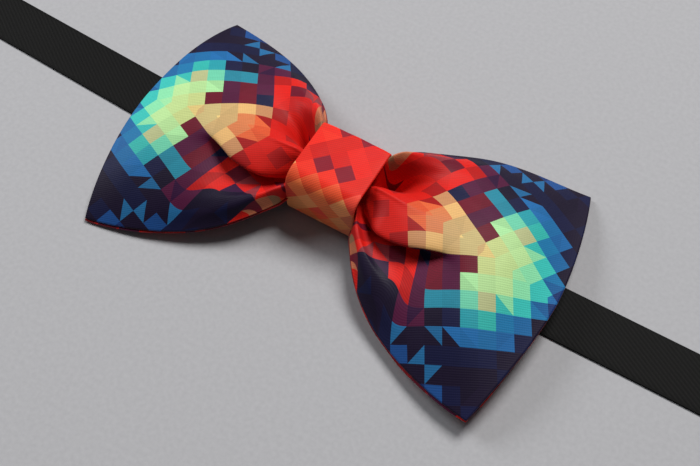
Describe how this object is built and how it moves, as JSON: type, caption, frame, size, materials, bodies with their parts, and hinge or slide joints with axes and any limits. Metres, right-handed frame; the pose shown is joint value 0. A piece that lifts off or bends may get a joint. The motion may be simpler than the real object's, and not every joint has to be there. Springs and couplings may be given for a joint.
{
  "type": "bow tie",
  "caption": "Pre-tied butterfly bow with gathered wings and a wrapped knot, sliding on an adjustable ribbon neck strap that ends in a hook and an eye.",
  "frame": {"origin": "on the back face of the knot, where it touches the table, on the centre line of the right half of the strap", "axes": "+X along the strap from the eye end to the hook end, +Y towards the upper edge of the bow, +Z out of the front of the bow, up when it lies face up"},
  "size_m": [0.4174, 0.0715, 0.0166],
  "materials": {
    "bow_print": "satin",
    "knot_print": "satin",
    "interlining": "matte",
    "thread_dark": "matte",
    "thread_red": "matte",
    "ribbon": "satin",
    "nickel": "polished"
  },
  "bodies": {
    "strap": {"neck_strap": "ribbon", "eye_end_stitches": "thread_dark"},
    "bow": {"bow_front_panel": "bow_print", "bow_back_panel": "bow_print", "bow_interlining": "interlining", "gather_thread": "thread_dark", "knot_wrap": "knot_print", "knot_interlining": "interlining", "knot_stitches": "thread_red"},
    "slider": {"adjuster_slide": "nickel", "strap_bridge": "ribbon", "slider_end_loop": "ribbon", "slider_end_stitches": "thread_dark", "strap_upper_leg": "ribbon", "strap_return_leg": "ribbon"},
    "hook_fold": {"strap_fold": "ribbon"},
    "hook": {"collar_hook": "nickel"},
    "eye": {"collar_eye": "nickel"}
  },
  "joints": [
    {"name": "bow_slide", "type": "slide", "parent": "strap", "child": "bow", "axis": [1, 0, 0], "range_m": [-0.015, 0.015]},
    {"name": "slider_slide", "type": "slide", "parent": "strap", "child": "slider", "axis": [1, 0, 0], "range_m": [-0.04, 0.09], "deforming": ["neck_strap", "strap_upper_leg", "strap_return_leg"]},
    {"name": "hook_draw", "type": "slide", "parent": "slider", "child": "hook_fold", "axis": [1, 0, 0], "range_m": [-0.046, 0.021]},
    {"name": "hook_swing", "type": "hinge", "parent": "hook_fold", "child": "hook", "pos_m": [0.22, 0, 0.00145], "axis": [0, -1, 0], "range_deg": [0, 120]},
    {"name": "eye_swing", "type": "hinge", "parent": "strap", "child": "eye", "pos_m": [-0.16977, 0.0089, 0.00145], "axis": [0.0523, 0.9986, 0], "range_deg": [0, 150]}
  ],
  "couplings": [
    {"joint": "hook_draw", "follows": "slider_slide", "ratio": -0.5}
  ]
}
